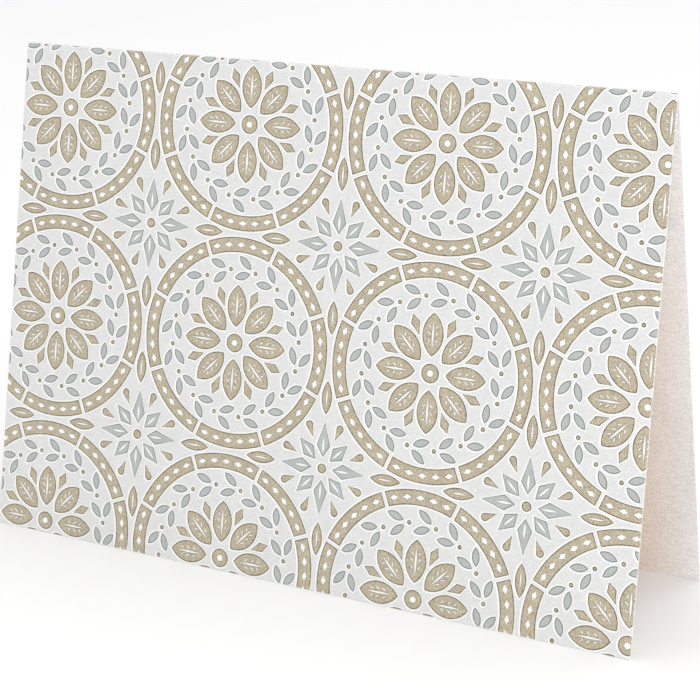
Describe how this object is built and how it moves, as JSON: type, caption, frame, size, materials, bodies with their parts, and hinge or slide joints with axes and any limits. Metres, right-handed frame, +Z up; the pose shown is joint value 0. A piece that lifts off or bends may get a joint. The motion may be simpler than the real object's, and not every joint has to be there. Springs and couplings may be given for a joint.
{
  "type": "greeting card",
  "caption": "Folded greeting card in thick soft paper, stood up like a tent, with a printed and pressed front panel.",
  "frame": {"origin": "on the table, under the middle of the fold", "axes": "+X along the fold, -Y towards the printed front panel, +Z up"},
  "size_m": [0.1778, 0.0474, 0.1248],
  "materials": {
    "paper": "matt uncoated cotton",
    "tan_ink": "matt ink pressed into the paper",
    "grey_ink": "matt ink pressed into the paper"
  },
  "bodies": {
    "root": {"card": "paper"}
  },
  "joints": []
}
